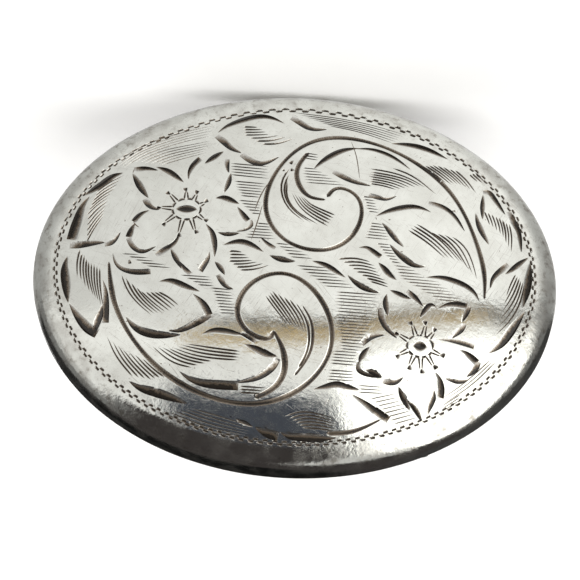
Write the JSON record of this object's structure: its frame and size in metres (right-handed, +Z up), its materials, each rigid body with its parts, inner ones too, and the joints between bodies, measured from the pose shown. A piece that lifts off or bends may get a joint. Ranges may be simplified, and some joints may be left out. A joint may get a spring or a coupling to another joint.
{
  "type": "belt buckle",
  "caption": "Oval domed silver dress buckle engraved with flowers and scrolls, with a swivel bail and a leaning hook peg on its closed back.",
  "frame": {"origin": "centre of the oval, level with the rim's edge, halfway between the top of the dome and the tip of the hook peg", "axes": "+Z up as worn, X along the belt with the bail at -X and the hook peg at +X, the engraved face looks towards -Y and the wearer is at +Y"},
  "size_m": [0.052, 0.0118, 0.04],
  "materials": {
    "engraved_silver": "satin polished silver, engraved, with darkened cuts",
    "back_silver": "plain satin silver, lightly scratched and toned",
    "nickel_silver": "satin nickel silver",
    "steel": "drawn steel wire"
  },
  "bodies": {
    "plate": {"face_plate": "engraved_silver", "bearer_wire": "back_silver", "back_plate": "back_silver", "hinge_leaf": "nickel_silver", "leaf_rivets": "nickel_silver", "hinge_knuckle_upper": "nickel_silver", "hinge_knuckle_lower": "nickel_silver", "hinge_pin": "steel", "pin_washer": "steel", "hook_pad": "nickel_silver", "hook_peg": "nickel_silver", "hook_rivets": "nickel_silver"},
    "bail": {"bail": "nickel_silver"}
  },
  "joints": [
    {"name": "bail_swing", "type": "hinge", "parent": "plate", "child": "bail", "pos_m": [-0.013, 0.0022, 0], "axis": [0, 0, 1], "range_deg": [0, 180]}
  ]
}
